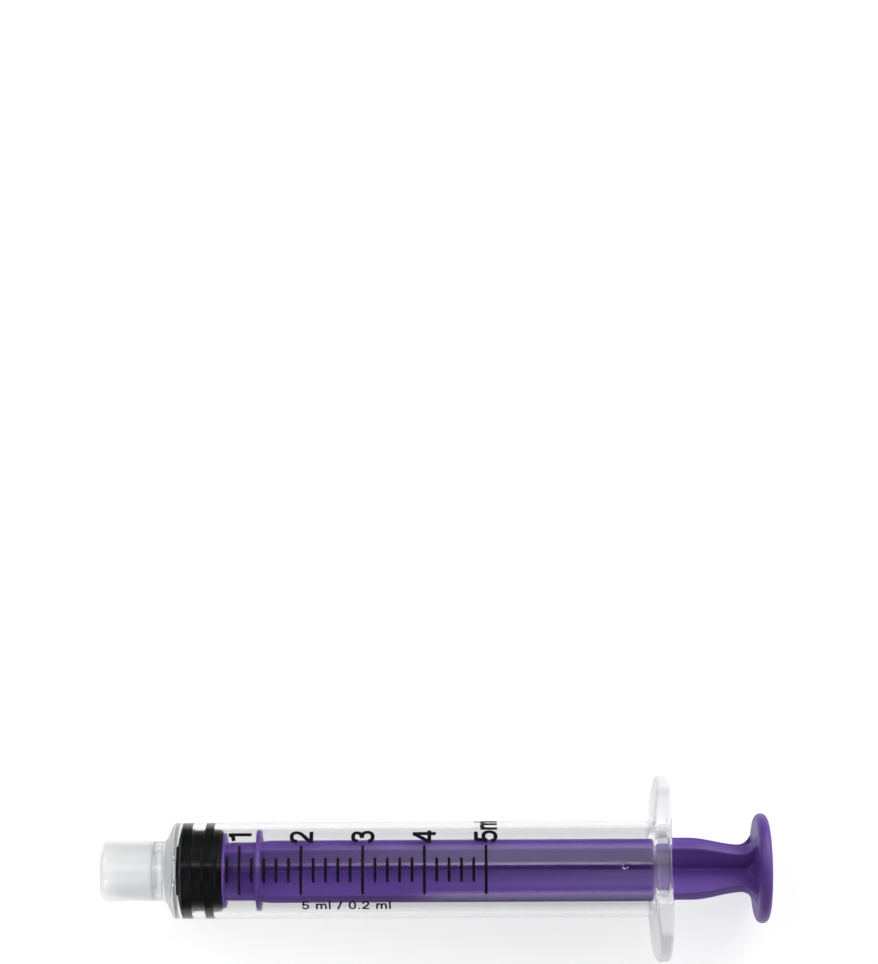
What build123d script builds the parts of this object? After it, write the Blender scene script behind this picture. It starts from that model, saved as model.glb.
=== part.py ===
from build123d import *
import os
from math import cos, radians, sin, tan

os.makedirs("parts", exist_ok=True)

# 5 ml oral syringe. Millimetres.
# +X runs along the axis from the tip to the thumb press, +Z is up, and the
# origin is on the axis, at the mouth of the tip.

# ---- barrel ------------------------------------------------------------------
barrel_r = 6.87          # outer radius of the tube
bore_r = 6.03            # 8.75 mm of bore holds 1 ml
tip_r = 3.65             # tube of the tip, inside the cap
socket_r = 2.80          # female socket of the tip
socket_floor_x = 6.96
orifice_r = 1.45         # fluid way from the socket into the bore
boss_x = 5.50            # front of the boss that the cap closes on
boss_r = 4.28
shoulder_x = 7.25        # end of the boss, start of the cone out to the tube
shoulder_top_x = 8.30
shoulder_top_r = 6.45
tube_x = 8.80            # the full outer radius starts here
cone_slope = 0.224       # of the closed front end, 12.6 degrees
front_x = 8.51           # where that cone meets the axis, inside the barrel
flange_x = 77.05         # flange at its root, front and back
flange_back_x = 79.55
flange_tip_x = 77.70     # and at the ends of its wings
flange_tip_back_x = 79.50
flange_r = 13.25
flange_half = 8.00       # to each flat side
bump_x = 72.90           # stop bumps in the bore
bump_r = 0.50
bump_reach = 5.71        # radius of their tops
bump_degs = (-4.5, 175.5)

# ---- printed scale -----------------------------------------------------------
ink = 0.03
print_deg = -8.0         # middle of the scale, from +Z towards +Y
zero_x = 9.43            # the 0 line
ml = 8.75                # of length for each ml
line_w = 0.39
major_half = 30.0        # degrees each way
minor_half = 14.6
numeral_deg = 44.0       # middle of the numerals, from the middle of the scale
numeral_h = 3.30
stroke = 0.46
mark_deg = -46.0         # middle of the capacity mark

# ---- stopper -----------------------------------------------------------------
rib_r = 6.01
nose_x = 8.56
rib_1 = (9.90, 11.30)
rib_2 = (12.98, 14.40)
groove_r = 5.77
skirt_r = 5.85
stopper_back_x = 15.45
socket_mouth_r = 2.10
socket_wide_r = 3.05

# ---- plunger rod -------------------------------------------------------------
head_x = 11.20           # front of the head that snaps into the stopper
head_r = 3.00
neck_r = 2.04
neck_x = 13.35           # back of the head
disc_1 = (15.52, 15.95)  # pushes on the stopper
disc_1_r = 5.35
disc_2 = (20.40, 21.00)  # keeps the rod straight in the bore
disc_2_r = 5.80
fin_t = 1.60
fin_r = 5.28
fin_deg = 32.0           # first fin, from +Z towards +Y
press_x = 91.95          # underside of the thumb press at its rim
press_back_x = 93.80
press_r = 7.85

# ---- tip cap -----------------------------------------------------------------
cap_x = -2.10            # closed end
cap_floor_x = -0.10
cap_open_x = 5.45
cap_r = 4.42
cap_open_r = 4.30
cap_bore_r = 3.70


def out(deg):
    """The unit vector that leaves the axis at an angle from +Z towards +Y."""
    return Vector(0, sin(radians(deg)), cos(radians(deg)))


def round_about(deg):
    """The direction of growing angle there."""
    return Vector(0, cos(radians(deg)), -sin(radians(deg)))


# ==== barrel ==================================================================
with BuildPart() as barrel:
    # Finger flange: a disc with two flat sides, thinner towards its wings.
    with BuildSketch(Plane.YZ.offset(flange_x)):
        Circle(flange_r)
        Rectangle(4 * flange_r, 2 * flange_half, mode=Mode.INTERSECT)
    extrude(amount=flange_back_x - flange_x)
    with BuildSketch(Plane.XY):
        with BuildLine():
            Polyline(
                (flange_x, 0),
                (flange_x, 6.2),
                (flange_tip_x, flange_r + 0.01),
                (flange_tip_back_x, flange_r + 0.01),
                (flange_back_x, 6.2),
                (flange_back_x, -6.2),
                (flange_tip_back_x, -flange_r - 0.01),
                (flange_tip_x, -flange_r - 0.01),
                (flange_x, -6.2),
                close=True,
            )
        make_face()
    extrude(amount=2 * flange_half, both=True, mode=Mode.INTERSECT)
    wing_edges = barrel.edges().filter_by_position(Axis.Z, -flange_half - 0.1, flange_half + 0.1)
    fillet([e for e in wing_edges if abs(e.center().Z) > 0.1 or e.geom_type == GeomType.CIRCLE
            if max(abs(e.center().Y), abs(e.center().Z)) > 7.7], radius=0.55)
    # Tip, boss, shoulder and tube.
    with BuildSketch(Plane.XZ):
        with BuildLine():
            Polyline(
                (0, 0),
                (0, tip_r - 0.35),
                (0.35, tip_r),
                (boss_x, tip_r),
                (boss_x, boss_r - 0.12),
                (boss_x + 0.12, boss_r),
                (shoulder_x - 0.45, boss_r),
                (shoulder_x - 0.05, boss_r + 0.12),
                (shoulder_x + 0.20, boss_r + 0.45),
                (shoulder_top_x - 0.05, shoulder_top_r - 0.12),
                (shoulder_top_x + 0.18, barrel_r - 0.14),
                (tube_x, barrel_r),
                (flange_x + 0.6, barrel_r),
                (flange_back_x, barrel_r),
                (flange_back_x, 0),
                close=True,
            )
        make_face()
    revolve(axis=Axis.X)
    # Socket, orifice, cone and bore, with a lead-in at the open end.
    with BuildSketch(Plane.XZ):
        with BuildLine():
            Polyline(
                (-1, 0),
                (-1, socket_r),
                (socket_floor_x, socket_r),
                (socket_floor_x, orifice_r),
                (front_x + cone_slope * orifice_r, orifice_r),
                (front_x + cone_slope * (bore_r - 0.12), bore_r - 0.12),
                (front_x + cone_slope * bore_r + 0.14, bore_r),
                (flange_back_x - 0.55, bore_r),
                (flange_back_x, bore_r + 0.40),
                (flange_back_x + 1, bore_r + 0.40),
                (flange_back_x + 1, 0),
                close=True,
            )
        make_face()
    revolve(axis=Axis.X, mode=Mode.SUBTRACT)
    # Two stop bumps that keep the stopper from being pulled out.
    for bump_deg in bump_degs:
        n = out(bump_deg)
        with BuildSketch(Plane(origin=Vector(bump_x, 0, 0) + n * (bore_r + 0.3), x_dir=(1, 0, 0), z_dir=-n)):
            Circle(bump_r)
        extrude(amount=bore_r + 0.3 - bump_reach, taper=20)


# ==== printed scale ===========================================================
def line_sector(x, half_deg):
    """One printed line across the tube, as thick as the ink."""
    with BuildSketch(Plane.YZ.offset(x - line_w / 2)) as sector:
        Circle(barrel_r + ink)
        Circle(barrel_r, mode=Mode.SUBTRACT)
        far = 2 * barrel_r
        a, b = out(print_deg - half_deg), out(print_deg + half_deg)
        m = out(print_deg)
        with BuildLine():
            Polyline(
                (0, 0),
                (a.Y * far, a.Z * far),
                (m.Y * far * 1.5, m.Z * far * 1.5),
                (b.Y * far, b.Z * far),
                close=True,
            )
        make_face(mode=Mode.INTERSECT)
    extrude(sector.sketch, amount=line_w)


with BuildPart() as scale_major_lines:
    for n in range(6):
        line_sector(zero_x + n * ml, major_half)

with BuildPart() as scale_minor_lines:
    for n in range(25):
        if n % 5:
            line_sector(zero_x + n * ml / 5, minor_half)

# Glyphs are open strokes in a box one unit high, drawn from (0, 0) to their width.
GLYPHS = {
    "1": (0.45, [[(0.08, 0.80), (0.34, 1.0), (0.34, 0.0)]]),
    "2": (0.62, [[(0.05, 0.76), (0.10, 0.91), (0.24, 0.99), (0.40, 0.99), (0.53, 0.90),
                  (0.57, 0.74), (0.50, 0.56), (0.06, 0.02), (0.60, 0.02)]]),
    "3": (0.62, [[(0.05, 0.84), (0.17, 0.97), (0.33, 1.0), (0.49, 0.93), (0.55, 0.77),
                  (0.47, 0.60), (0.28, 0.53), (0.48, 0.47), (0.58, 0.29), (0.51, 0.10),
                  (0.33, 0.0), (0.15, 0.02), (0.03, 0.16)]]),
    "4": (0.66, [[(0.48, 0.0), (0.48, 1.0)], [(0.44, 0.95), (0.06, 0.29), (0.64, 0.29)]]),
    "5": (0.62, [[(0.54, 0.98), (0.14, 0.98), (0.09, 0.52), (0.25, 0.62), (0.42, 0.61),
                  (0.55, 0.48), (0.58, 0.30), (0.50, 0.10), (0.32, 0.0), (0.15, 0.02),
                  (0.03, 0.15)]]),
    "0": (0.64, [[(0.34, 1.0), (0.28, 1.0), (0.12, 0.88), (0.05, 0.66), (0.05, 0.34),
                  (0.12, 0.12), (0.28, 0.0), (0.34, 0.0)],
                 [(0.30, 0.0), (0.36, 0.0), (0.52, 0.12), (0.59, 0.34), (0.59, 0.66),
                  (0.52, 0.88), (0.36, 1.0), (0.30, 1.0)]]),
    ".": (0.22, [[(0.11, 0.0), (0.11, 0.14)]]),
    "/": (0.40, [[(0.02, -0.04), (0.38, 1.04)]]),
    "m": (0.94, [[(0.08, 0.0), (0.08, 0.70)],
                 [(0.08, 0.52), (0.17, 0.66), (0.32, 0.70), (0.43, 0.64), (0.47, 0.50), (0.47, 0.0)],
                 [(0.47, 0.52), (0.56, 0.66), (0.71, 0.70), (0.82, 0.64), (0.86, 0.50), (0.86, 0.0)]]),
    "l": (0.22, [[(0.11, 0.0), (0.11, 1.0)]]),
    " ": (0.30, []),
}
GAP = 0.14


def lettering(text, height, width, plane_at, start):
    """Strokes of a short text, each glyph on its own tangent plane of the tube."""
    at = start
    for c in text:
        wide, strokes = GLYPHS[c]
        middle = at + wide * height / 2
        for path in strokes:
            with BuildSketch(plane_at(middle)) as glyph:
                with BuildLine():
                    Polyline(*[((u - wide / 2) * height, (v - 0.5) * height) for u, v in path])
                trace(line_width=width)
            extrude(glyph.sketch, amount=1.0, both=True)
        at += (wide + GAP) * height
    return at


def keep_ink():
    """Leaves only the skin of ink that lies on the tube."""
    with BuildSketch(Plane.YZ) as skin:
        Circle(barrel_r + ink)
        Circle(barrel_r, mode=Mode.SUBTRACT)
    extrude(skin.sketch, amount=flange_x, mode=Mode.INTERSECT)


def across(x):
    """Tangent planes for a text that runs round the tube, its top to the tip."""
    def plane_at(along):
        deg = print_deg + numeral_deg + along / barrel_r * 180 / 3.14159265
        n = out(deg)
        return Plane(origin=Vector(x, 0, 0) + n * barrel_r, x_dir=round_about(deg), z_dir=n)
    return plane_at


def lengthwise(x0, deg):
    """Tangent planes for a text that runs along the tube."""
    n = out(deg)
    return lambda along: Plane(origin=Vector(x0 + along, 0, 0) + n * barrel_r, x_dir=(1, 0, 0), z_dir=n)


with BuildPart() as scale_numerals:
    for n in range(1, 6):
        wide = GLYPHS[str(n)][0] * numeral_h
        lettering(str(n), numeral_h, stroke, across(zero_x + n * ml), -wide / 2)
    keep_ink()

with BuildPart() as scale_unit:
    lettering("ml", numeral_h, stroke, across(zero_x + 5 * ml), (0.31 + GAP) * numeral_h)
    keep_ink()

with BuildPart() as capacity_mark:
    lettering("5 ml / 0.2 ml", 1.70, 0.27, lengthwise(27.0, print_deg + mark_deg), 0)
    keep_ink()

# ==== stopper =================================================================
with BuildPart() as stopper:
    with BuildSketch(Plane.XZ):
        with BuildLine():
            Polyline(
                (nose_x, 0),
                (nose_x + cone_slope * (rib_r - 0.12), rib_r - 0.12),
                (rib_1[0] + 0.06, rib_r),
                (rib_1[1] - 0.10, rib_r),
                (rib_1[1] + 0.06, groove_r + 0.06),
                (rib_1[1] + 0.22, groove_r),
                (rib_2[0] - 0.22, groove_r),
                (rib_2[0] - 0.06, groove_r + 0.06),
                (rib_2[0] + 0.10, rib_r),
                (rib_2[1] - 0.10, rib_r),
                (rib_2[1] + 0.06, skirt_r),
                (stopper_back_x - 0.45, skirt_r),
                (stopper_back_x - 0.13, skirt_r - 0.13),
                (stopper_back_x, skirt_r - 0.45),
                (stopper_back_x, 0),
                close=True,
            )
        make_face()
    revolve(axis=Axis.X)
    # Hollow that the head of the rod snaps into.
    with BuildSketch(Plane.XZ):
        with BuildLine():
            Polyline(
                (head_x - 0.05, 0),
                (head_x - 0.05, 1.55),
                (neck_x - 1.00, socket_wide_r),
                (neck_x + 0.05, socket_wide_r),
                (neck_x + 0.25, socket_mouth_r),
                (stopper_back_x - 0.45, socket_mouth_r),
                (stopper_back_x, socket_mouth_r + 0.45),
                (stopper_back_x + 1, socket_mouth_r + 0.45),
                (stopper_back_x + 1, 0),
                close=True,
            )
        make_face()
    revolve(axis=Axis.X, mode=Mode.SUBTRACT)

# ==== plunger rod =============================================================
# Half outline of a fin, from the front disc to the thumb press.
fin_outline = [
    (83.10, 5.28),
    (84.00, 5.16),
    (85.40, 4.86),
    (86.85, 4.44),
    (88.60, 4.04),
    (89.60, 3.88),
    (90.20, 3.98),
    (90.82, 4.34),
    (91.32, 5.00),
    (91.60, 5.90),
]
with BuildPart() as plunger_rod:
    # Head, neck and the two discs.
    with BuildSketch(Plane.XZ):
        with BuildLine():
            Polyline(
                (head_x, 0),
                (head_x, 1.45),
                (neck_x - 1.00, head_r),
                (neck_x, head_r),
                (neck_x + 0.10, neck_r),
                (disc_1[0], neck_r),
                (disc_1[0], disc_1_r - 0.12),
                (disc_1[0] + 0.12, disc_1_r),
                (disc_1[1] - 0.12, disc_1_r),
                (disc_1[1], disc_1_r - 0.12),
                (disc_1[1], 0),
                close=True,
            )
        make_face()
    revolve(axis=Axis.X)
    # Two crossed pairs of fins.
    for deg in (fin_deg, fin_deg + 90):
        n = out(deg)
        with BuildSketch(Plane(origin=(0, 0, 0), x_dir=(1, 0, 0), z_dir=-round_about(deg))):
            with BuildLine():
                top = [
                    (disc_1[1] - 0.2, 5.2),
                    (disc_1[1] + 0.35, 5.08),
                    (disc_1[1] + 1.2, 4.90),
                    (disc_2[0] - 1.2, 4.90),
                    (disc_2[0] - 0.35, 5.08),
                    (disc_2[0] + 0.1, 5.28),
                    *fin_outline,
                    (press_x + 0.3, 5.90),
                ]
                Polyline(*top, *[(x, -r) for x, r in reversed(top)], close=True)
            make_face()
        extrude(amount=fin_t / 2, both=True)
    with BuildSketch(Plane.XZ):
        with BuildLine():
            Polyline(
                (disc_2[0], 0),
                (disc_2[0], disc_2_r - 0.22),
                (disc_2[0] + 0.08, disc_2_r - 0.07),
                (disc_2[0] + 0.22, disc_2_r),
                (disc_2[1] - 0.22, disc_2_r),
                (disc_2[1] - 0.08, disc_2_r - 0.07),
                (disc_2[1], disc_2_r - 0.22),
                (disc_2[1], 0),
                close=True,
            )
        make_face()
    revolve(axis=Axis.X)
    # Thumb press: a disc with a full round rim, a little thicker in the middle.
    rim = (press_back_x - press_x) / 2
    with BuildSketch(Plane.XZ):
        with BuildLine():
            Polyline(
                (press_back_x, press_r - rim),
                (press_back_x + 0.10, 4.0),
                (press_back_x + 0.10, 0),
                (press_x - 0.55, 0),
                (press_x - 0.55, 3.2),
                (press_x, press_r - rim),
            )
            ThreePointArc(
                (press_x, press_r - rim),
                (press_x + rim, press_r),
                (press_back_x, press_r - rim),
            )
        make_face()
    revolve(axis=Axis.X)

# ==== tip cap =================================================================
with BuildPart() as tip_cap:
    with BuildSketch(Plane.XZ):
        with BuildLine():
            Polyline((cap_x + 1.15, cap_r), (cap_open_x - 0.1, cap_open_r), (cap_open_x, cap_open_r - 0.1),
                          (cap_open_x, 0), (cap_x, 0), (cap_x + 0.10, cap_r - 1.35))
            ThreePointArc(
                (cap_x + 0.10, cap_r - 1.35),
                (cap_x + 0.42, cap_r - 0.42),
                (cap_x + 1.15, cap_r),
            )
        make_face()
    revolve(axis=Axis.X)
    with BuildSketch(Plane.XZ):
        with BuildLine():
            Polyline(
                (cap_floor_x, 0),
                (cap_floor_x, cap_bore_r - 0.5),
                (cap_floor_x + 0.5, cap_bore_r),
                (cap_open_x - 0.25, cap_bore_r),
                (cap_open_x + 0.01, cap_bore_r + 0.2),
                (cap_open_x + 1, cap_bore_r + 0.2),
                (cap_open_x + 1, 0),
                close=True,
            )
        make_face()
    revolve(axis=Axis.X, mode=Mode.SUBTRACT)

# ==== names and files =========================================================
for name, piece in (
    ("barrel", barrel),
    ("scale_major_lines", scale_major_lines),
    ("scale_minor_lines", scale_minor_lines),
    ("scale_numerals", scale_numerals),
    ("scale_unit", scale_unit),
    ("capacity_mark", capacity_mark),
    ("stopper", stopper),
    ("plunger_rod", plunger_rod),
    ("tip_cap", tip_cap),
):
    piece.part.label = name
    export_step(piece.part, "parts/" + name + ".step")
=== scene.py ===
import math

import bmesh
import bpy
import numpy as np
from mathutils import Matrix, Vector


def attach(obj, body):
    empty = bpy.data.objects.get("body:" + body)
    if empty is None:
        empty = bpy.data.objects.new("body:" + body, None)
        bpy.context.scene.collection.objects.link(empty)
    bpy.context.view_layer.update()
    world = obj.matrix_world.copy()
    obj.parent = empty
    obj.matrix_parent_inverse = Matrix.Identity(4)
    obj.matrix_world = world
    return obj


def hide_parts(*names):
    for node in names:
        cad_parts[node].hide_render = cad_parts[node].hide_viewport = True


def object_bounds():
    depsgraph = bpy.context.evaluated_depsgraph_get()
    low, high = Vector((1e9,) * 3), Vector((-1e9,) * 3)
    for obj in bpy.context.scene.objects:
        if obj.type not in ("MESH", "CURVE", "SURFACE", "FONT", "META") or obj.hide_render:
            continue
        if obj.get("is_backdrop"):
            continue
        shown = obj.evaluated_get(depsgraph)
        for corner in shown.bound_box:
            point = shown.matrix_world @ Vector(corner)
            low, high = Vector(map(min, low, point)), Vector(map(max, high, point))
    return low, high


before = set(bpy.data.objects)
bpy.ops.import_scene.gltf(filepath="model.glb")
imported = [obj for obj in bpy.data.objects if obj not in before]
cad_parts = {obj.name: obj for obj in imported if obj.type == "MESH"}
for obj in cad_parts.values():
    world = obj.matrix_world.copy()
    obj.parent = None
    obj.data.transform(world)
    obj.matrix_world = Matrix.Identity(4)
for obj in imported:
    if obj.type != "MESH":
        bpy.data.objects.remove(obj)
cad_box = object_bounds()

MM = 0.001
scene = bpy.context.scene

# ============================================================ camera
# The optical axis looks past the object, which lies low in the picture.
F_PX, WIDE, TALL = 2730.0, 878, 964
cam_data = bpy.data.cameras.new("camera")
cam_data.sensor_width = 36.0
cam_data.lens = F_PX * 36.0 / TALL
cam_data.clip_start, cam_data.clip_end = 0.01, 20
cam = bpy.data.objects.new("camera", cam_data)
scene.collection.objects.link(cam)
scene.camera = cam
MIDDLE = Vector((0.0464, 0, 0))
view_el, axis_el = math.radians(82.0), math.radians(73.92)
cam.location = MIDDLE + 0.3971 * Vector((0, -math.cos(view_el), math.sin(view_el))) + Vector((0.00036, 0, 0))
forward = Vector((0, math.cos(axis_el), -math.sin(axis_el)))
up = Vector((0, math.sin(axis_el), math.cos(axis_el)))
roll = math.radians(-0.27)
right = forward.cross(up).normalized()
right, up = right * math.cos(roll) + up * math.sin(roll), up * math.cos(roll) - right * math.sin(roll)
turn = Matrix((right, up, -forward)).transposed()
cam.matrix_world = Matrix.Translation(cam.location) @ turn.to_4x4()


# ============================================================ mesh helpers
def out(deg):
    a = math.radians(deg)
    return np.array([0.0, math.sin(a), math.cos(a)])


def round_about(deg):
    a = math.radians(deg)
    return np.array([0.0, math.cos(a), -math.sin(a)])


def bent(points, seg=5):
    """Profile points (x, r, fillet radius) with each corner rounded by an arc of its radius."""
    done = []
    for i, p in enumerate(points):
        a = np.array(p[:2], float)
        rad = p[2] if len(p) > 2 else 0.0
        if rad <= 0 or i in (0, len(points) - 1):
            done.append(tuple(a))
            continue
        before, after = np.array(points[i - 1][:2], float), np.array(points[i + 1][:2], float)
        u, v = before - a, after - a
        lu, lv = np.linalg.norm(u), np.linalg.norm(v)
        u, v = u / lu, v / lv
        ang = math.acos(max(-1, min(1, float(u @ v))))
        if math.pi - ang < 1e-3:
            done.append(tuple(a))
            continue
        reach = min(rad / math.tan(ang / 2), 0.48 * lu, 0.48 * lv)
        rad = reach * math.tan(ang / 2)
        mid = (u + v) / np.linalg.norm(u + v)
        centre = a + mid * rad / math.sin(ang / 2)
        s, e = a + u * reach - centre, a + v * reach - centre
        sweep = math.pi - ang
        n = max(2, int(math.ceil(seg * sweep / (math.pi / 2))) + 1)
        for k in range(n + 1):
            t = k / n
            q = (s * math.sin((1 - t) * sweep) + e * math.sin(t * sweep)) / math.sin(sweep) if sweep < 3.1 else s
            done.append(tuple(centre + q))
    return done


def dense(profile, step, guard=0.06):
    """Adds points on long runs, with a guard point near each end, so that shading stays crisp."""
    res = [profile[0]]
    for a, b in zip(profile[:-1], profile[1:]):
        a, b = np.array(a, float), np.array(b, float)
        length = np.linalg.norm(b - a)
        if length > 4 * guard:
            n = max(1, int(math.ceil((length - 2 * guard) / step)))
            for k in range(n + 1):
                t = (guard + (length - 2 * guard) * k / n) / length
                res.append(tuple(a + (b - a) * t))
        res.append(tuple(b))
    return res


def mesh_from(name, verts, faces):
    me = bpy.data.meshes.new(name)
    me.from_pydata([tuple(v) for v in verts], [], faces)
    me.validate()
    bm = bmesh.new()
    bm.from_mesh(me)
    bmesh.ops.recalc_face_normals(bm, faces=bm.faces)
    bm.to_mesh(me)
    bm.free()
    ob = bpy.data.objects.new(name, me)
    scene.collection.objects.link(ob)
    me.shade_smooth()
    return ob


def skin(name, rings, closed=False, caps=(True, True)):
    """A closed surface through rings of the same count: rings is (rows, K, 3) in millimetres."""
    rings = np.asarray(rings, float)
    rows, k = rings.shape[:2]
    verts = list(rings.reshape(-1, 3) * MM)
    faces = []
    last = rows if closed else rows - 1
    for i in range(last):
        a, b = i * k, ((i + 1) % rows) * k
        for j in range(k):
            jj = (j + 1) % k
            faces.append((a + j, a + jj, b + jj, b + j))
    if not closed:
        for row, flip in ((0, True), (rows - 1, False)):
            pole = len(verts)
            verts.append(rings[row].mean(0) * MM)
            for j in range(k):
                jj = (j + 1) % k
                tri = (row * k + j, row * k + jj, pole)
                faces.append(tri[::-1] if flip else tri)
    return mesh_from(name, verts, faces)


def lathe(name, profile, k=256, closed=False, wobble=None):
    """Turns a profile (x, r) about the X axis."""
    ang = np.arange(k) * 2 * math.pi / k
    rings = []
    for x, r in profile:
        rr = np.full(k, float(r))
        xx = np.full(k, float(x))
        if wobble is not None:
            xx, rr = wobble(xx, rr, ang)
        rings.append(np.stack([xx, rr * np.sin(ang), rr * np.cos(ang)], 1))
    return skin(name, rings, closed)


def crisp(ob, angle=35):
    """Weighted normals keep flat faces flat beside their rounded edges."""
    m = ob.modifiers.new("weighted", "WEIGHTED_NORMAL")
    m.keep_sharp = True
    m.weight = 60


# ============================================================ barrel
R_TUBE, R_BORE = 6.87, 6.03
K = 320
theta = np.arange(K) * 2 * math.pi / K


def outline(inset):
    """Radius of the flange's outline, drawn in by inset: a circle with two flat sides."""
    circle = np.full(K, 13.25 - inset)
    flat = (8.00 - inset) / np.maximum(np.abs(np.cos(theta)), 1e-3)
    s = 0.16
    low = np.minimum(circle, flat)
    return low - s * np.log(np.exp(-(circle - low) / s) + np.exp(-(flat - low) / s)) * 1.0 - 0.0


def front_of(r):
    y = np.abs(r * np.sin(theta))
    return 77.05 + 0.65 * np.clip((y - 6.2) / 7.05, 0, 1)


def back_of(r):
    y = np.abs(r * np.sin(theta))
    return 79.55 - 0.05 * np.clip((y - 6.2) / 7.05, 0, 1)


def ring(x, r):
    x = np.broadcast_to(np.asarray(x, float), (K,))
    r = np.broadcast_to(np.asarray(r, float), (K,))
    return np.stack([x, r * np.sin(theta), r * np.cos(theta)], 1)


def make_barrel():
    rings = []
    tube = bent([
        (0.0, 2.98), (0.0, 3.65, 0.32), (5.50, 3.65, 0.12), (5.50, 4.28, 0.16), (6.98, 4.28, 0.30),
        (7.42, 4.64, 0.40), (8.32, 6.52, 0.30), (8.62, 6.87, 0.45), (76.82, 6.87),
    ], seg=6)
    rings += [ring(x, r) for x, r in dense(tube, 2.4)]
    # fillet into the flange's front face
    for t in np.linspace(0, 1, 5)[1:]:
        a = t * math.pi / 2
        rings.append(ring(76.83 + 0.20 * math.sin(a), 6.87 + 0.20 * (1 - math.cos(a))))
    edge = 0.50
    inner = np.full(K, 7.07)
    outer = outline(edge)
    for t in [0.03, 0.12, 0.25, 0.4, 0.55, 0.7, 0.82, 0.92, 0.985]:
        r = inner * (1 - t) + outer * t
        rings.append(ring(front_of(r), r))
    for n in range(7):
        a = n / 6 * math.pi / 2
        r = outline(edge * (1 - math.sin(a)))
        rings.append(ring(front_of(outer) + edge * (1 - math.cos(a)), r))
    full = outline(0.0)
    lo, hi = front_of(outer) + edge, back_of(outer) - edge
    for t in (0.06, 0.5, 0.94):
        rings.append(ring(lo + (hi - lo) * t, full))
    for n in range(7):
        a = n / 6 * math.pi / 2
        r = outline(edge * (1 - math.cos(a)))
        rings.append(ring(back_of(outer) - edge * (1 - math.sin(a)), r))
    inner = np.full(K, 6.55)
    for t in [0.985, 0.92, 0.82, 0.7, 0.55, 0.4, 0.25, 0.12, 0.03]:
        r = inner * (1 - t) + outer * t
        rings.append(ring(back_of(r), r))
    # lead-in, bore with its two stop bumps, cone, orifice and socket
    bore = bent([
        (79.55, 6.53), (79.55, 6.43, 0.10), (79.00, 6.03, 0.25), (73.7, 6.03),
    ], seg=5)
    rings += [ring(x, r) for x, r in dense(bore, 1.2)]
    for x in np.arange(73.62, 72.18, -0.075):
        reach = np.zeros(K)
        for deg in (-4.5, 175.5):
            d = (theta - math.radians(deg) + math.pi) % (2 * math.pi) - math.pi
            dist = np.sqrt((x - 72.9) ** 2 + (R_BORE * d) ** 2)
            dome = np.sqrt(np.maximum(0.52 ** 2 - dist ** 2, 0)) - 0.52 + 0.315
            reach = np.maximum(reach, dome)
        rings.append(ring(x, R_BORE - reach))
    inside = bent([
        (72.1, 6.03), (9.98, 6.03, 0.14), (9.83, 5.86, 0.14), (8.51 + 0.224 * 1.45, 1.45, 0.10), (6.96, 1.45, 0.08),
        (6.96, 2.80, 0.15), (0.0, 2.80, 0.20), (0.0, 3.02),
    ], seg=5)
    rings += [ring(x, r) for x, r in dense(inside, 2.4)[:-1]]
    ob = skin("barrel_shell", rings, closed=True)
    crisp(ob)
    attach(ob, "barrel")
    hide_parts("barrel")
    return ob


barrel = make_barrel()


# ============================================================ tip cap
def make_cap():
    profile = bent([
        (-2.10, 0.05), (-2.10, 1.2), (-1.98, 4.42, 1.10), (5.45, 4.30, 0.14), (5.45, 3.90, 0.10), (5.20, 3.70, 0.10),
        (-0.10, 3.70, 0.50), (-0.16, 0.9, 0.2), (-0.10, 0.05),
    ], seg=7)
    ob = lathe("cap_shell", dense(profile, 1.2), k=224)
    crisp(ob)
    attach(ob, "cap")
    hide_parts("tip_cap")
    return ob


cap = make_cap()


# ============================================================ stopper
def make_stopper():
    # the rubber is pressed on the bore and on the closed end, with no air between them
    touch, cone = R_BORE + 0.006, 8.51 - 0.006
    profile = bent([
        (8.57, 0.05), (8.56 + 0.224 * 1.0, 1.0, 0.2), (8.56 + 0.224 * 1.30, 1.30), (cone + 0.224 * 1.50, 1.50), (cone + 0.224 * 5.855, 5.855, 0.10),
        (9.975, touch, 0.12), (11.26, touch, 0.22), (11.50, 5.76, 0.20),
        (12.78, 5.76, 0.20), (13.02, touch, 0.22), (14.36, touch, 0.22), (14.50, 5.85, 0.10), (15.45, 5.85, 0.50),
        (15.45, 2.55, 0.25), (15.00, 2.10, 0.2), (13.62, 2.10, 0.12), (13.40, 3.05, 0.12), (12.35, 3.05, 0.2),
        (11.15, 1.55, 0.2), (11.15, 0.05),
    ], seg=6)
    ob = lathe("stopper_rubber", dense(profile, 0.8, 0.04), k=256)
    crisp(ob)
    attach(ob, "stopper")
    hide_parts("stopper")
    return ob


stopper = make_stopper()

# ============================================================ plunger rod
FIN_DEG = 32.0
HALF_T = 0.80
QUAD = 30


def plus_section(reach, root=0.22, corner=0.22, grow=0.0):
    """One ring of the crossed fins, as (u, v) points in order, starting on the +u fin's edge."""
    t = HALF_T + grow
    reach = reach + 0.0
    edge_x = lambda v: math.sqrt(max(reach * reach - v * v, 0))
    pts = []
    # tip face, lightly crowned
    for k in range(4):
        v = (t - corner) * k / 4
        pts.append((edge_x(v), v))
    x0 = edge_x(t - corner)
    for k in range(6):
        a = k / 5 * math.pi / 2
        pts.append((x0 - corner + corner * math.cos(a), t - corner + corner * math.sin(a)))
    x1 = x0 - corner
    fil = root
    stop = t + fil
    for k in range(1, 9):
        q = k / 9
        pts.append((x1 + (stop - x1) * q, t))
    half_arc = 5
    for k in range(half_arc):
        a = k / (2 * (half_arc - 1) + 0.0) * math.pi / 2 if half_arc > 1 else 0
        pts.append((stop - fil * math.sin(a), stop - fil * math.cos(a)))
    # mirror about the diagonal
    half = pts[:]
    # the last point lies on the diagonal when a = 45 degrees
    mirrored = [(v, u) for u, v in reversed(half[1:-1])] if abs(half[-1][0] - half[-1][1]) < 1e-6 else [(v, u) for u, v in reversed(half[1:])]
    return half + mirrored  # one quadrant, up to but not including the +v fin's centre


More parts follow.
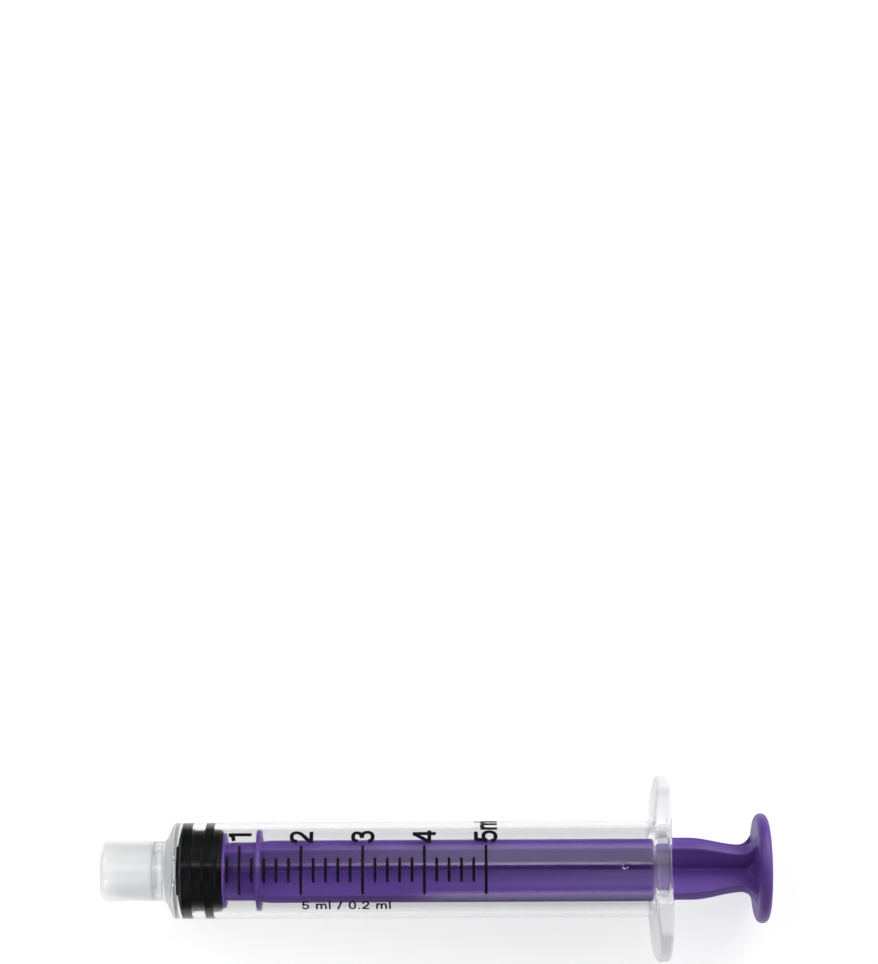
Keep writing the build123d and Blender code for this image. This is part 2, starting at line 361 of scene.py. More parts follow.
def plus_ring(reach, **kw):
    q = plus_section(reach, **kw)
    pts = []
    for n in range(4):
        c, s = [(1, 0), (0, 1), (-1, 0), (0, -1)][n]
        pts += [(u * c - v * s, u * s + v * c) for u, v in q]
    return np.array(pts)


KR = len(plus_ring(5.0))
# Angles at which the round parts' rings carry the same points.
PLUS = plus_ring(5.28)
plus_ang = np.unwrap(np.arctan2(PLUS[:, 1], PLUS[:, 0]))
even = np.arange(KR) * 2 * math.pi / KR
ROUND_ANG = 0.35 * plus_ang + 0.65 * even


def round_ring(r):
    return np.stack([r * np.cos(ROUND_ANG), r * np.sin(ROUND_ANG)], 1)


def grow_ring(pts, d):
    """Offsets a ring outwards by d along its own normals."""
    prev, nxt = np.roll(pts, 1, 0), np.roll(pts, -1, 0)
    tan = nxt - prev
    tan /= np.linalg.norm(tan, axis=1)[:, None]
    return pts + np.stack([tan[:, 1], -tan[:, 0]], 1) * d


def floor_at(pts, r):
    """No point nearer the axis than r."""
    d = np.linalg.norm(pts, axis=1)
    return pts * np.maximum(1.0, r / d)[:, None]


def make_rod():
    rows = []  # (x, ring)

    def turned(profile):
        for x, r in profile:
            rows.append((x, round_ring(r)))

    def face(x, a, b, shares=(0.04, 0.2, 0.4, 0.6, 0.8, 0.96)):
        for s in shares:
            rows.append((x, a * (1 - s) + b * s))

    # head, neck, front disc's front face and rim
    turned(dense(bent([
        (11.20, 0.06), (11.20, 1.45, 0.25), (12.35, 3.00, 0.35), (13.35, 3.00, 0.22), (13.45, 2.04, 0.12), (15.52, 2.04, 0.12),
        (15.52, 5.35, 0.19), (15.95, 5.35, 0.19), (15.95, 5.16),
    ], seg=5), 0.6, 0.05))
    fil = 0.28

    def leave(x, disc_r, reach, ahead=1):
        """From a disc's face, across it and round the fillet into the fins."""
        first = floor_at(grow_ring(plus_ring(reach), fil), 0)
        start = round_ring(disc_r)
        face(x, start, first)
        for n in range(0, 5):
            a = n / 4 * math.pi / 2
            rows.append((x + ahead * fil * (1 - math.cos(a)) , grow_ring(plus_ring(reach), fil * (1 - math.sin(a)))))

    def arrive(x, disc_r, reach):
        for n in range(4, -1, -1):
            a = n / 4 * math.pi / 2
            rows.append((x - fil * (1 - math.cos(a)), grow_ring(plus_ring(reach), fil * (1 - math.sin(a)))))
        first = grow_ring(plus_ring(reach), fil)
        start = round_ring(disc_r)
        for s in (0.96, 0.8, 0.6, 0.4, 0.2, 0.04):
            rows.append((x, start * (1 - s) + first * s))

    leave(15.95, 5.14, 4.80)
    for x, r in ((16.35, 4.86), (16.8, 4.90), (17.6, 4.90), (18.6, 4.90), (19.2, 4.90), (19.8, 4.92)):
        rows.append((x, plus_ring(r)))
    arrive(20.40, 5.55, 4.90)
    turned(dense(bent([(20.40, 5.56), (20.40, 5.80, 0.24), (21.00, 5.80, 0.24), (21.00, 5.56)], seg=6), 0.5, 0.05))
    leave(21.00, 5.54, 5.10)
    fins = [(21.6, 5.20), (22.4, 5.27), (23.2, 5.28)]
    fins += [(x, 5.28) for x in np.arange(25.0, 82.0, 2.5)]
    # gentle curve down to the waist and out to the thumb press
    from_x = np.array([82.4, 83.10, 84.00, 85.40, 86.85, 88.60, 89.60, 90.20, 90.82, 91.32, 91.62])
    to_r = np.array([5.28, 5.27, 5.16, 4.86, 4.44, 4.04, 3.89, 3.98, 4.34, 4.98, 5.55])
    fine = np.concatenate([np.arange(82.4, 90.0, 0.35), np.arange(90.0, 91.5, 0.12), [91.55, 91.62]])
    r_fine = np.interp(fine, from_x, to_r)
    for _ in range(3):
        r_fine[1:-1] = (r_fine[:-2] + 2 * r_fine[1:-1] + r_fine[2:]) / 4
    fins += list(zip(fine, r_fine))
    for x, r in fins:
        core = 0.0 if x < 90.5 else 1.30 + 1.35 * ((x - 90.5) / 1.12) ** 2
        rows.append((x, floor_at(plus_ring(r, root=0.22 + 0.45 * min(1, max(0, (x - 89.9) / 1.7))), core)))
    # underside of the thumb press, from the flared fins out to its rim
    last = rows[-1][1]
    rim = (93.80 - 91.95) / 2
    d = np.linalg.norm(last, axis=1)
    target = round_ring(7.85 - rim)
    for s in (0.06, 0.16, 0.3, 0.45, 0.6, 0.75, 0.88, 0.97):
        ring_now = last * (1 - s) + target * s
        x = 91.62 + 0.33 * (1 - (1 - min(1, s * 1.35)) ** 2)
        rows.append((x, ring_now))
    for n in range(13):
        a = n / 12 * math.pi
        rows.append((91.95 + rim - rim * math.cos(a), round_ring(7.85 - rim + rim * math.sin(a))))
    turned(dense([(93.80, 6.85), (93.88, 4.0), (93.895, 1.0)], 1.0, 0.05))
    turned(bent([(93.895, 0.95), (93.895, 0.80, 0.05), (93.78, 0.72, 0.05), (93.78, 0.10)], seg=3))

    a = math.radians(FIN_DEG)
    rings = []
    for x, pts in rows:
        # u runs along the first fin, v a quarter turn on from it
        y = pts[:, 0] * math.sin(a) + pts[:, 1] * math.cos(a)
        z = pts[:, 0] * math.cos(a) - pts[:, 1] * math.sin(a)
        rings.append(np.stack([np.full(len(pts), x), y, z], 1))
    ob = skin("plunger_body", rings)
    crisp(ob)
    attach(ob, "plunger")
    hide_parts("plunger_rod")
    return ob


rod = make_rod()

# ============================================================ printed scale
R_LOW, R_TOP = R_TUBE - 0.006, R_TUBE + 0.024
PRINT_DEG, ZERO_X, ML = -8.0, 9.43, 8.75


def make_lines(name, node, xs, half_deg, width=0.40):
    verts, faces = [], []
    n = int(half_deg * 2 / 2) + 1
    for x in xs:
        base = len(verts)
        for k in range(n + 1):
            u = PRINT_DEG - half_deg + 2 * half_deg * k / n
            # rounded corners at both ends of a line
            w = width / 2 * (0.72 if k in (0, n) else 1.0)
            for dx, r in ((-w, R_LOW), (-w, R_TOP), (w, R_TOP), (w, R_LOW)):
                verts.append((np.array([x + dx, 0, 0]) + out(u) * r) * MM)
            if k:
                a, b = base + 4 * (k - 1), base + 4 * k
                for j in range(4):
                    jj = (j + 1) % 4
                    faces.append((a + j, a + jj, b + jj, b + j))
        faces.append((base, base + 1, base + 2, base + 3))
        e = base + 4 * n
        faces.append((e + 3, e + 2, e + 1, e))
    ob = mesh_from(name, verts, faces)
    ob.data.set_sharp_from_angle(angle=math.radians(40))
    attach(ob, "barrel")
    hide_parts(node)
    return ob


# Glyphs as strokes in a box one unit high: (smooth, closed, points) along each stroke's middle.
GLYPHS = {
    "1": (0.50, [(0, 0, [(0.37, 1.0), (0.37, 0.0)]), (1, 0, [(0.36, 0.95), (0.27, 0.82), (0.05, 0.755)])]),
    "2": (0.64, [(1, 0, [(0.085, 0.68), (0.14, 0.86), (0.32, 0.925), (0.49, 0.87), (0.555, 0.71), (0.49, 0.54), (0.31, 0.36),
                         (0.14, 0.20), (0.09, 0.08)]),
                 (0, 0, [(0.02, 0.075), (0.61, 0.075)])]),
    "3": (0.64, [(1, 0, [(0.08, 0.73), (0.15, 0.88), (0.32, 0.925), (0.48, 0.87), (0.53, 0.74), (0.45, 0.60), (0.25, 0.545)]),
                 (1, 0, [(0.25, 0.545), (0.48, 0.49), (0.565, 0.31), (0.49, 0.14), (0.31, 0.075), (0.14, 0.13), (0.07, 0.28)])]),
    "4": (0.68, [(0, 0, [(0.49, 0.0), (0.49, 1.0)]), (0, 0, [(0.50, 0.985), (0.085, 0.33)]), (0, 0, [(0.02, 0.285), (0.67, 0.285)])]),
    "5": (0.64, [(0, 0, [(0.10, 0.925), (0.57, 0.925)]), (0, 0, [(0.165, 0.97), (0.095, 0.44)]),
                 (1, 0, [(0.085, 0.47), (0.20, 0.57), (0.35, 0.60), (0.51, 0.52), (0.565, 0.33), (0.49, 0.15), (0.31, 0.075),
                         (0.14, 0.13), (0.07, 0.27)])]),
    "0": (0.66, [(1, 1, [(0.33, 0.925), (0.14, 0.82), (0.085, 0.5), (0.14, 0.18), (0.33, 0.075), (0.52, 0.18), (0.575, 0.5), (0.52, 0.82)])]),
    ".": (0.24, [(0, 0, [(0.12, 0.0), (0.12, 0.16)])]),
    "/": (0.40, [(0, 0, [(0.03, -0.03), (0.37, 1.03)])]),
    "m": (0.98, [(0, 0, [(0.09, 0.0), (0.09, 0.72)]),
                 (1, 0, [(0.09, 0.48), (0.18, 0.62), (0.33, 0.655), (0.45, 0.60), (0.485, 0.44), (0.485, 0.22), (0.485, 0.0)]),
                 (1, 0, [(0.485, 0.48), (0.575, 0.62), (0.725, 0.655), (0.845, 0.60), (0.88, 0.44), (0.88, 0.22), (0.88, 0.0)])]),
    "l": (0.20, [(0, 0, [(0.10, 0.0), (0.10, 1.0)])]),
    " ": (0.30, []),
}
GAP = 0.14


def smooth_line(points, closed, n=7):
    """A Catmull-Rom line through the points."""
    p = [np.array(q, float) for q in points]
    p = [p[-1]] + p + p[:2] if closed else [2 * p[0] - p[1]] + p + [2 * p[-1] - p[-2]]
    res = []
    for i in range(1, len(p) - 2):
        for k in range(n):
            t = k / n
            res.append(0.5 * (2 * p[i] + (p[i + 1] - p[i - 1]) * t + (2 * p[i - 1] - 5 * p[i] + 4 * p[i + 1] - p[i + 2]) * t * t
                              + (3 * p[i] - p[i - 1] - 3 * p[i + 1] + p[i + 2]) * t ** 3))
    if not closed:
        res.append(p[-2])
    return res


def stroke_solid(points, closed, half):
    """A flat bar of one unit's thickness that follows a line, as a closed mesh."""
    p = np.array(points, float)
    if closed:
        tan = np.roll(p, -1, 0) - np.roll(p, 1, 0)
    else:
        tan = np.gradient(p, axis=0)
    tan /= np.linalg.norm(tan, axis=1)[:, None]
    side = np.stack([-tan[:, 1], tan[:, 0]], 1) * half
    n = len(p)
    verts = []
    for i in range(n):
        for q in (p[i] + side[i], p[i] - side[i]):
            verts += [(q[0], q[1], 0.0), (q[0], q[1], 1.0)]
    faces = []
    for i in range(n if closed else n - 1):
        a, b = 4 * i, 4 * ((i + 1) % n)
        faces += [(a, b, b + 2, a + 2), (a + 1, a + 3, b + 3, b + 1), (a, a + 1, b + 1, b), (a + 2, b + 2, b + 3, a + 3)]
    if not closed:
        e = 4 * (n - 1)
        faces += [(0, 2, 3, 1), (e, e + 1, e + 3, e + 2)]
    return mesh_from("stroke", np.array(verts), faces)


def flat_text(body, height, stroke):
    """A short text as one flat solid, its width and its mesh in millimetres."""
    at = 0.0
    joined = bmesh.new()
    for ch in body:
        wide, strokes = GLYPHS[ch]
        parts = []
        for smooth, closed, pts in strokes:
            line = smooth_line(pts, closed) if smooth else [np.array(pts[0]) * (1 - t) + np.array(pts[1]) * t for t in (0, 0.5, 1)]
            parts.append(stroke_solid([(q[0] * height + at, q[1] * height) for q in line], closed, stroke / 2))
        if parts:
            first = parts[0]
            for other in parts[1:]:
                m = first.modifiers.new("join", "BOOLEAN")
                m.operation, m.solver, m.object = "UNION", "EXACT", other
            bpy.context.view_layer.update()
            dg = bpy.context.evaluated_depsgraph_get()
            me = bpy.data.meshes.new_from_object(first.evaluated_get(dg), depsgraph=dg)
            joined.from_mesh(me)
            bpy.data.meshes.remove(me)
            for p in parts:
                old = p.data
                bpy.data.objects.remove(p)
                bpy.data.meshes.remove(old)
        at += (wide + GAP) * height
    me = bpy.data.meshes.new("text")
    joined.to_mesh(me)
    joined.free()
    co = np.array([v.co for v in me.vertices], float)
    return me, co[:, 0].min(), co[:, 0].max()


def wrap(name, node, items):
    """items: (mesh, place) where place turns flat (u, v) into (x, degrees) on the tube."""
    whole = bmesh.new()
    for me, cut_dir, place in items:
        bm = bmesh.new()
        bm.from_mesh(me)
        bmesh.ops.remove_doubles(bm, verts=bm.verts, dist=1e-5)
        axis = 0 if cut_dir == "u" else 1
        lo = min(v.co[axis] for v in bm.verts)
        hi = max(v.co[axis] for v in bm.verts)
        n = int((hi - lo) / 0.22) + 1
        for k in range(1, n):
            at = lo + (hi - lo) * k / n
            co, no = [0, 0, 0], [0, 0, 0]
            co[axis], no[axis] = at, 1
            bmesh.ops.bisect_plane(bm, geom=bm.verts[:] + bm.edges[:] + bm.faces[:], plane_co=co, plane_no=no)
        zs = [v.co.z for v in bm.verts]
        z0, z1 = min(zs), max(zs)
        for v in bm.verts:
            x, deg = place(v.co.x, v.co.y)
            r = R_LOW if v.co.z < (z0 + z1) / 2 else R_TOP
            p = (np.array([x, 0, 0]) + out(deg) * r) * MM
            v.co = Vector(p)
        part = bpy.data.meshes.new("part")
        bm.to_mesh(part)
        bm.free()
        whole.from_mesh(part)
        bpy.data.meshes.remove(part)
    bmesh.ops.recalc_face_normals(whole, faces=whole.faces)
    me = bpy.data.meshes.new(name)
    whole.to_mesh(me)
    whole.free()
    ob = bpy.data.objects.new(name, me)
    scene.collection.objects.link(ob)
    me.shade_smooth()
    me.set_sharp_from_angle(angle=math.radians(40))
    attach(ob, "barrel")
    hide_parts(node)
    return ob


DEG_MM = 180 / math.pi / R_TUBE
NUMERAL_DEG, NUMERAL_H = 43.2, 3.30


def across(x, shift):
    """Text that runs round the tube, its top towards the tip."""
    return lambda u, v: (x - (v - NUMERAL_H / 2), PRINT_DEG + NUMERAL_DEG + (u + shift) * 1.12 * DEG_MM)


lines_major = make_lines("scale_major", "scale_major_lines", [ZERO_X + n * ML for n in range(6)], 30.0)
lines_minor = make_lines("scale_minor", "scale_minor_lines", [ZERO_X + n * ML / 5 for n in range(25) if n % 5], 14.6)

numerals = []
for n in range(1, 6):
    me, lo, hi = flat_text(str(n), NUMERAL_H, 0.56)
    numerals.append((me, "u", across(ZERO_X + n * ML, -(lo + hi) / 2)))
digits = wrap("scale_digits", "scale_numerals", numerals)
me, lo, hi = flat_text("ml", NUMERAL_H, 0.54)
unit = wrap("scale_unit_text", "scale_unit", [(me, "u", across(ZERO_X + 5 * ML, 1.22 - lo))])
me, lo, hi = flat_text("5 ml / 0.2 ml", 1.62, 0.27)
mark = wrap("capacity_text", "capacity_mark", [(me, "v", lambda u, v: (27.0 + u, PRINT_DEG - 46.0 - 7.0 + (v) * DEG_MM))])


# ============================================================ materials
def srgb(r, g, b):
    f = lambda c: (c / 255 / 12.92) if c / 255 <= 0.04045 else ((c / 255 + 0.055) / 1.055) ** 2.4
    return (f(r), f(g), f(b), 1.0)


def material(name):
    m = bpy.data.materials.new(name)
    m.use_nodes = True
    m.node_tree.nodes.clear()
    return m, m.node_tree.nodes, m.node_tree.links


def node(nodes, kind, **values):
    n = nodes.new(kind)
    for k, v in values.items():
        if hasattr(n, k) and k not in ("Scale",):
            setattr(n, k, v)
    return n


def noise(nodes, links, scale, detail=3.0, rough=0.55, coords=None, stretch=None):
    n = nodes.new("ShaderNodeTexNoise")
    n.inputs["Scale"].default_value = scale
    n.inputs["Detail"].default_value = detail
    n.inputs["Roughness"].default_value = rough
    if coords is None:
        coords = nodes.new("ShaderNodeTexCoord").outputs["Object"]
    if stretch:
        mp = nodes.new("ShaderNodeMapping")
        mp.inputs["Scale"].default_value = stretch
        links.new(coords, mp.inputs["Vector"])
        coords = mp.outputs["Vector"]
    links.new(coords, n.inputs["Vector"])
    return n.outputs["Fac"]


def ranged(nodes, links, fac, lo, hi, from_lo=0.3, from_hi=0.7):
    n = nodes.new("ShaderNodeMapRange")
    n.inputs["From Min"].default_value = from_lo
    n.inputs["From Max"].default_value = from_hi
    n.inputs["To Min"].default_value = lo
    n.inputs["To Max"].default_value = hi
    links.new(fac, n.inputs["Value"])
    return n.outputs["Result"]


def two_colours(nodes, links, fac, a, b):
    n = nodes.new("ShaderNodeMix")
    n.data_type = "RGBA"
    links.new(fac, n.inputs["Factor"])
    n.inputs["A"].default_value = a
    n.inputs["B"].default_value = b
    return n.outputs["Result"]


def bump(nodes, links, height, strength, distance):
    n = nodes.new("ShaderNodeBump")
    n.inputs["Strength"].default_value = strength
    n.inputs["Distance"].default_value = distance
    links.new(height, n.inputs["Height"])
    return n.outputs["Normal"]


def lit_through(nodes, links, shader, tint):
    """Clear plastic that lets lamps through."""
    path = nodes.new("ShaderNodeLightPath")
    clear = nodes.new("ShaderNodeBsdfTransparent")
    clear.inputs["Color"].default_value = tint
    mix = nodes.new("ShaderNodeMixShader")
    links.new(path.outputs["Is Shadow Ray"], mix.inputs["Fac"])
    links.new(shader, mix.inputs[1])
    links.new(clear.outputs["BSDF"], mix.inputs[2])
    return mix.outputs["Shader"]


def maths(nodes, links, op, a, b=None, c=None):
    n = nodes.new("ShaderNodeMath")
    n.operation = op
    for i, v in enumerate((a, b, c)):
        if v is None:
            continue
        if isinstance(v, (int, float)):
            n.inputs[i].default_value = v
        else:
            links.new(v, n.inputs[i])
    return n.outputs["Value"]


BOSS_HAZE, HUB_HAZE, MID_HAZE = 0.35, 1.25, 0.08


def clear_plastic():
    m, nodes, links = material("clear_polypropylene")
    b = nodes.new("ShaderNodeBsdfPrincipled")
    coords = nodes.new("ShaderNodeTexCoord").outputs["Object"]
    sep = nodes.new("ShaderNodeSeparateXYZ")
    links.new(coords, sep.inputs["Vector"])
    # thick sections, the hub and above all the flange's wings, are milkier than the thin tube
    hub = ranged(nodes, links, sep.outputs["X"], HUB_HAZE, 0.0, 0.00850, 0.00882)
    hub = maths(nodes, links, "MINIMUM", hub, ranged(nodes, links, sep.outputs["X"], BOSS_HAZE, HUB_HAZE, 0.0068, 0.0078))
    wing = ranged(nodes, links, maths(nodes, links, "ABSOLUTE", sep.outputs["Y"]), MID_HAZE, 1.0, 0.0052, 0.0070)
    wing = maths(nodes, links, "MULTIPLY", wing, ranged(nodes, links, sep.outputs["X"], 0.0, 1.0, 0.0764, 0.0772))
    haze = maths(nodes, links, "MAXIMUM", hub, wing)
    cloud = noise(nodes, links, 120, 4, 0.6, coords)
    clear = two_colours(nodes, links, cloud, (0.865, 0.868, 0.872, 1), (0.895, 0.898, 0.900, 1))
    milky = two_colours(nodes, links, cloud, (0.935, 0.935, 0.950, 1), (0.965, 0.965, 0.975, 1))
    mix = nodes.new("ShaderNodeMix")
    mix.data_type = "RGBA"
    links.new(haze, mix.inputs["Factor"])
    links.new(clear, mix.inputs["A"])
    links.new(milky, mix.inputs["B"])
    links.new(mix.outputs["Result"], b.inputs["Base Color"])
    base_rough = ranged(nodes, links, noise(nodes, links, 300, 3, 0.6, coords), 0.045, 0.075)
    links.new(maths(nodes, links, "MULTIPLY_ADD", haze, 0.36, base_rough), b.inputs["Roughness"])
    links.new(ranged(nodes, links, haze, 1.0, 0.36, 0.0, 1.3), b.inputs["Transmission Weight"])
    b.inputs["IOR"].default_value = 1.49
    links.new(bump(nodes, links, noise(nodes, links, 40, 1, 0.5, coords, (1, 0.35, 0.35)), 0.01, 0.00004), b.inputs["Normal"])
    o = nodes.new("ShaderNodeOutputMaterial")
    links.new(lit_through(nodes, links, b.outputs["BSDF"], (0.88, 0.89, 0.90, 1)), o.inputs["Surface"])
    return m


def frosted_plastic():
    m, nodes, links = material("frosted_polypropylene")
    b = nodes.new("ShaderNodeBsdfPrincipled")
    coords = nodes.new("ShaderNodeTexCoord").outputs["Object"]
    links.new(two_colours(nodes, links, noise(nodes, links, 260, 4, 0.6, coords), (0.974, 0.975, 0.976, 1), (0.990, 0.990, 0.990, 1)), b.inputs["Base Color"])
    links.new(ranged(nodes, links, noise(nodes, links, 400, 2, 0.6, coords), 0.32, 0.40), b.inputs["Roughness"])
    b.inputs["IOR"].default_value = 1.49
    b.inputs["Transmission Weight"].default_value = 0.38
    b.inputs["Coat Weight"].default_value = 0.7
    b.inputs["Coat Roughness"].default_value = 0.10
    b.inputs["Subsurface Weight"].default_value = 0.9
    b.inputs["Subsurface Radius"].default_value = (1.0, 1.0, 1.0)
    b.inputs["Subsurface Scale"].default_value = 0.002
    links.new(bump(nodes, links, noise(nodes, links, 90, 1, 0.5, coords), 0.1, 0.00004), b.inputs["Normal"])
    o = nodes.new("ShaderNodeOutputMaterial")
    links.new(lit_through(nodes, links, b.outputs["BSDF"], (0.55, 0.56, 0.57, 1)), o.inputs["Surface"])
    return m


def purple_plastic():
    m, nodes, links = material("purple_polypropylene")
    b = nodes.new("ShaderNodeBsdfPrincipled")
    coords = nodes.new("ShaderNodeTexCoord").outputs["Object"]
    # faint flow streaks along the rod
    streak = noise(nodes, links, 420, 4, 0.6, coords, (0.12, 1, 1))
    links.new(two_colours(nodes, links, streak, srgb(92, 58, 146), srgb(104, 68, 158)), b.inputs["Base Color"])
    links.new(ranged(nodes, links, noise(nodes, links, 700, 3, 0.6, coords), 0.38, 0.50), b.inputs["Roughness"])
    b.inputs["IOR"].default_value = 1.49
    b.inputs["Subsurface Weight"].default_value = 0.12
    b.inputs["Subsurface Radius"].default_value = (0.6, 0.35, 1.0)
    b.inputs["Subsurface Scale"].default_value = 0.0006
    links.new(bump(nodes, links, noise(nodes, links, 2200, 3, 0.6, coords), 0.25, 0.000015), b.inputs["Normal"])
    o = nodes.new("ShaderNodeOutputMaterial")
    links.new(b.outputs["BSDF"], o.inputs["Surface"])
    return m


def rubber():
    m, nodes, links = material("black_rubber")
    b = nodes.new("ShaderNodeBsdfPrincipled")
    coords = nodes.new("ShaderNodeTexCoord").outputs["Object"]
    links.new(two_colours(nodes, links, noise(nodes, links, 900, 4, 0.6, coords), (0.0020, 0.0025, 0.0023, 1), (0.0042, 0.0048, 0.0044, 1)), b.inputs["Base Color"])
    links.new(ranged(nodes, links, noise(nodes, links, 1200, 3, 0.6, coords), 0.42, 0.56), b.inputs["Roughness"])
    b.inputs["IOR"].default_value = 1.5
    b.inputs["Specular IOR Level"].default_value = 0.08
    links.new(bump(nodes, links, noise(nodes, links, 2600, 3, 0.6, coords), 0.3, 0.00002), b.inputs["Normal"])
    o = nodes.new("ShaderNodeOutputMaterial")
    links.new(b.outputs["BSDF"], o.inputs["Surface"])
    return m


def ink():
    m, nodes, links = material("print_ink")
    b = nodes.new("ShaderNodeBsdfPrincipled")
    coords = nodes.new("ShaderNodeTexCoord").outputs["Object"]
    links.new(two_colours(nodes, links, noise(nodes, links, 3000, 3, 0.6, coords), srgb(8, 4, 17), srgb(16, 10, 28)), b.inputs["Base Color"])
    links.new(ranged(nodes, links, noise(nodes, links, 2500, 2, 0.6, coords), 0.42, 0.6), b.inputs["Roughness"])
    b.inputs["Specular IOR Level"].default_value = 0.12
    links.new(bump(nodes, links, noise(nodes, links, 5000, 2, 0.6, coords), 0.2, 0.00001), b.inputs["Normal"])
    o = nodes.new("ShaderNodeOutputMaterial")
    links.new(b.outputs["BSDF"], o.inputs["Surface"])
    return m


def give(ob, mat):
    ob.data.materials.clear()
    ob.data.materials.append(mat)


give(barrel, clear_plastic())
give(cap, frosted_plastic())
give(rod, purple_plastic())
give(stopper, rubber())
ink_mat = ink()
for ob in (lines_major, lines_minor, digits, unit, mark):
    give(ob, ink_mat)

# ============================================================ floor and light
floor_z = cad_box[0].z
GLOW, EXTRA = 0.69, 0.08
bpy.ops.mesh.primitive_plane_add(size=1.6, location=(0.05, 0.0, floor_z - 0.00002))
floor = bpy.context.object
floor.name = "floor"
m, nodes, links = material("pale_floor")
b = nodes.new("ShaderNodeBsdfPrincipled")
coords = nodes.new("ShaderNodeTexCoord").outputs["Object"]
links.new(two_colours(nodes, links, noise(nodes, links, 6, 3, 0.6, coords), (0.44, 0.44, 0.445, 1), (0.47, 0.47, 0.47, 1)), b.inputs["Base Color"])
b.inputs["Roughness"].default_value = 0.9
b.inputs["Specular IOR Level"].default_value = 0.1
b.inputs["Emission Color"].default_value = (1, 1, 1, 1)
# It glows like a light table, evenly where the camera sees it. What the clear plastic mirrors of it
# fades to a dim room beside the syringe, so that the rubber behind the plastic stays black.
way = nodes.new("ShaderNodeLightPath").outputs
across_floor = nodes.new("ShaderNodeSeparateXYZ")
links.new(coords, across_floor.inputs["Vector"])
side = ranged(nodes, links, maths(nodes, links, "ABSOLUTE", across_floor.outputs["Y"]), 1.0, 0.0, 0.022, 0.052)
ends = ranged(nodes, links, maths(nodes, links, "ABSOLUTE", across_floor.outputs["X"]), 1.0, 0.0, 0.09, 0.16)
near = maths(nodes, links, "MULTIPLY", side, ends)
away = nodes.new("ShaderNodeVectorMath")
away.operation = "LENGTH"
links.new(coords, away.inputs[0])
lamp = maths(nodes, links, "MULTIPLY", ranged(nodes, links, away.outputs["Value"], 1.0, 0.0, 0.10, 0.26), way["Is Diffuse Ray"])
seen = maths(nodes, links, "MAXIMUM", maths(nodes, links, "MAXIMUM", near, lamp), way["Is Camera Ray"])
glow = maths(nodes, links, "MULTIPLY_ADD", lamp, EXTRA, ranged(nodes, links, seen, 0.0, GLOW, 0.0, 1.0))
links.new(glow, b.inputs["Emission Strength"])
dim = nodes.new("ShaderNodeBsdfDiffuse")
dim.inputs["Color"].default_value = (0.12, 0.12, 0.12, 1)
mix = nodes.new("ShaderNodeMixShader")
links.new(seen, mix.inputs["Fac"])
links.new(dim.outputs["BSDF"], mix.inputs[1])
links.new(b.outputs["BSDF"], mix.inputs[2])
o = nodes.new("ShaderNodeOutputMaterial")
links.new(mix.outputs["Shader"], o.inputs["Surface"])
give(floor, m)
floor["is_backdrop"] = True

world = bpy.data.worlds.new("world")
scene.world = world
world.use_nodes = True
wn, wl = world.node_tree.nodes, world.node_tree.links
bg = wn["Background"]
bg.inputs["Color"].default_value = (0.96, 0.98, 1.0, 1)
# a dim room lights the object, a white wall is what the camera sees behind it
path = wn.new("ShaderNodeLightPath")


def level(fac, lo, hi):
    n = wn.new("ShaderNodeMapRange")
    wl.new(fac, n.inputs["Value"])
    for key, v in (("To Min", lo), ("To Max", hi)):
        if isinstance(v, float):
            n.inputs[key].default_value = v
        else:
            wl.new(v, n.inputs[key])
    return n.outputs["Result"]


wl.new(level(path.outputs["Is Camera Ray"], level(path.outputs["Is Glossy Ray"], 0.07, 0.02), 0.86), bg.inputs["Strength"])


def panel(name, centre, look, size, watts, colour=(1, 1, 1)):
    """A soft area light."""
    d = bpy.data.lights.new(name, "AREA")
    d.shape = "RECTANGLE"
    d.size, d.size_y = size
    d.energy = watts
    d.color = colour
    o = bpy.data.objects.new(name, d)
    scene.collection.objects.link(o)
    o.location = centre
    z = (Vector(centre) - Vector(look)).normalized()
    x = Vector((1, 0, 0))
    y = z.cross(x).normalized()
    x = y.cross(z).normalized()
    o.matrix_world = Matrix.Translation(centre) @ Matrix((x, y, z)).transposed().to_4x4()
    return o


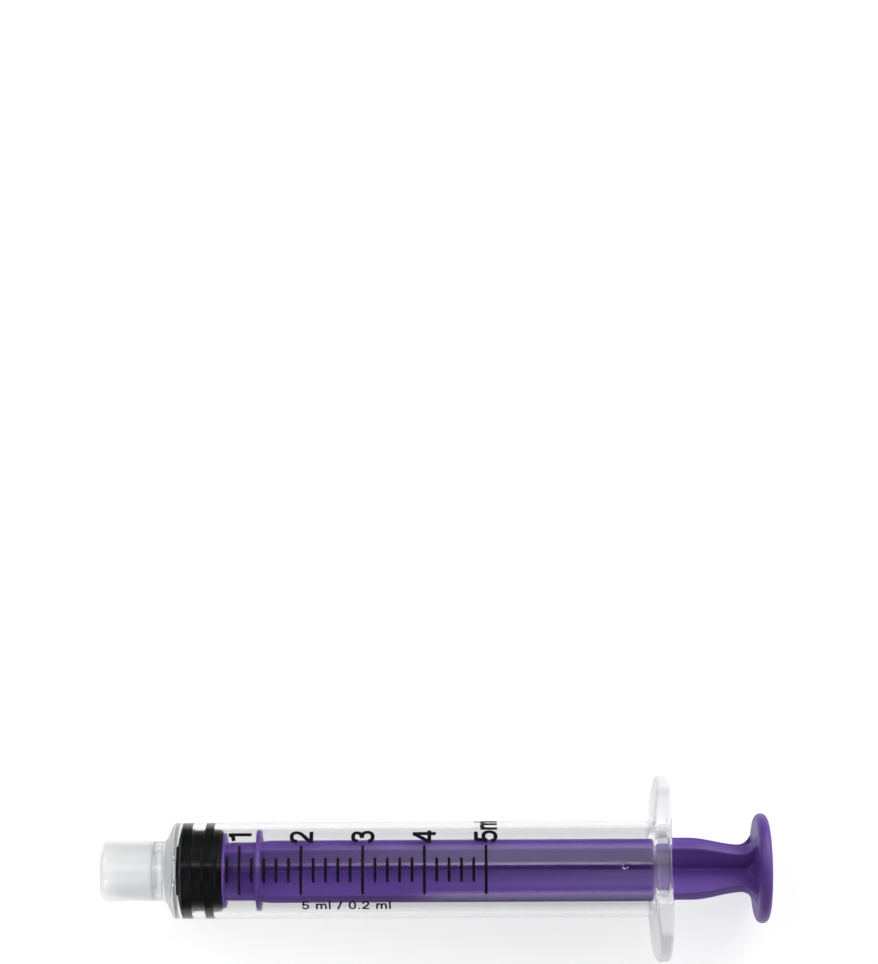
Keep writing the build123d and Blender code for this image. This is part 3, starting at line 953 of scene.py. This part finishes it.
at = (0.046, 0, 0)
panel("key", (0.47, 0.46, 0.46), at, (0.60, 0.60), 4.8)
panel("key_left", (-0.30, 0.27, 0.50), at, (0.40, 0.40), 2.3)
panel("fill", (0.40, -0.42, 0.46), at, (0.5, 0.4), 0.20)
for x in (0.106, -0.0085):
    panel("glint", (x, -0.175, 0.50), (x, -0.175, 0), (0.022, 0.012), 0.0024)
panel("side", (0.60, 0.12, 0.16), at, (0.3, 0.3), 0.6)
panel("low_right", (0.36, -0.52, 0.13), at, (0.32, 0.22), 0.10)
panel("low_front", (0.13, -0.52, 0.13), at, (0.18, 0.20), 0.14)
panel("low_left", (-0.26, -0.52, 0.13), at, (0.32, 0.22), 0.20)
panel("cap_streak", (-0.058, 0.055, 0.49), (-0.058, 0.055, 0), (0.024, 0.09), 0.10)
spot = panel("cap_spot", (-0.10, -0.25, 0.25), (0.001, 0, 0), (0.05, 0.05), 0.006)
spot.data.spread = math.radians(16)


def glowing(name, y0, y1, x0, x1, lo, hi, end=0.75):
    """An overhead softbox whose glow grows from lo at x0 to hi at x1; the tube mirrors it as a haze."""
    me = bpy.data.meshes.new(name)
    me.from_pydata([(-0.35, y0, 0.5), (-0.35, y1, 0.5), (end, y1, 0.5), (end, y0, 0.5)], [], [(0, 1, 2, 3)])
    ob = bpy.data.objects.new(name, me)
    scene.collection.objects.link(ob)
    m, nodes, links = material(name + "_glow")
    sep = nodes.new("ShaderNodeSeparateXYZ")
    links.new(nodes.new("ShaderNodeTexCoord").outputs["Object"], sep.inputs["Vector"])
    glow = nodes.new("ShaderNodeEmission")
    glow.inputs["Color"].default_value = (1, 1, 1, 1)
    links.new(ranged(nodes, links, sep.outputs["X"], lo, hi, x0, x1), glow.inputs["Strength"])
    o = nodes.new("ShaderNodeOutputMaterial")
    links.new(glow.outputs["Emission"], o.inputs["Surface"])
    give(ob, m)
    ob.visible_camera = False
    ob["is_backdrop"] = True


glowing("softbox", 0.082, 0.72, -0.03, 0.065, 0.07, 1.15)
# the pale line along the tube; it stops where the flange's flat side would mirror it
glowing("streak", 0.020, 0.080, -0.045, 0.06, 0.0, 3.0, end=0.115)
glowing("softbox_front", -0.60, -0.10, 0.02, 0.12, 0.0, 0.45)

scene.view_settings.view_transform = "Standard"
scene.view_settings.look = "None"
scene.cycles.max_bounces = 24
scene.cycles.transmission_bounces = 20
scene.cycles.transparent_max_bounces = 24
scene.cycles.glossy_bounces = 8

lo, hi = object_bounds()
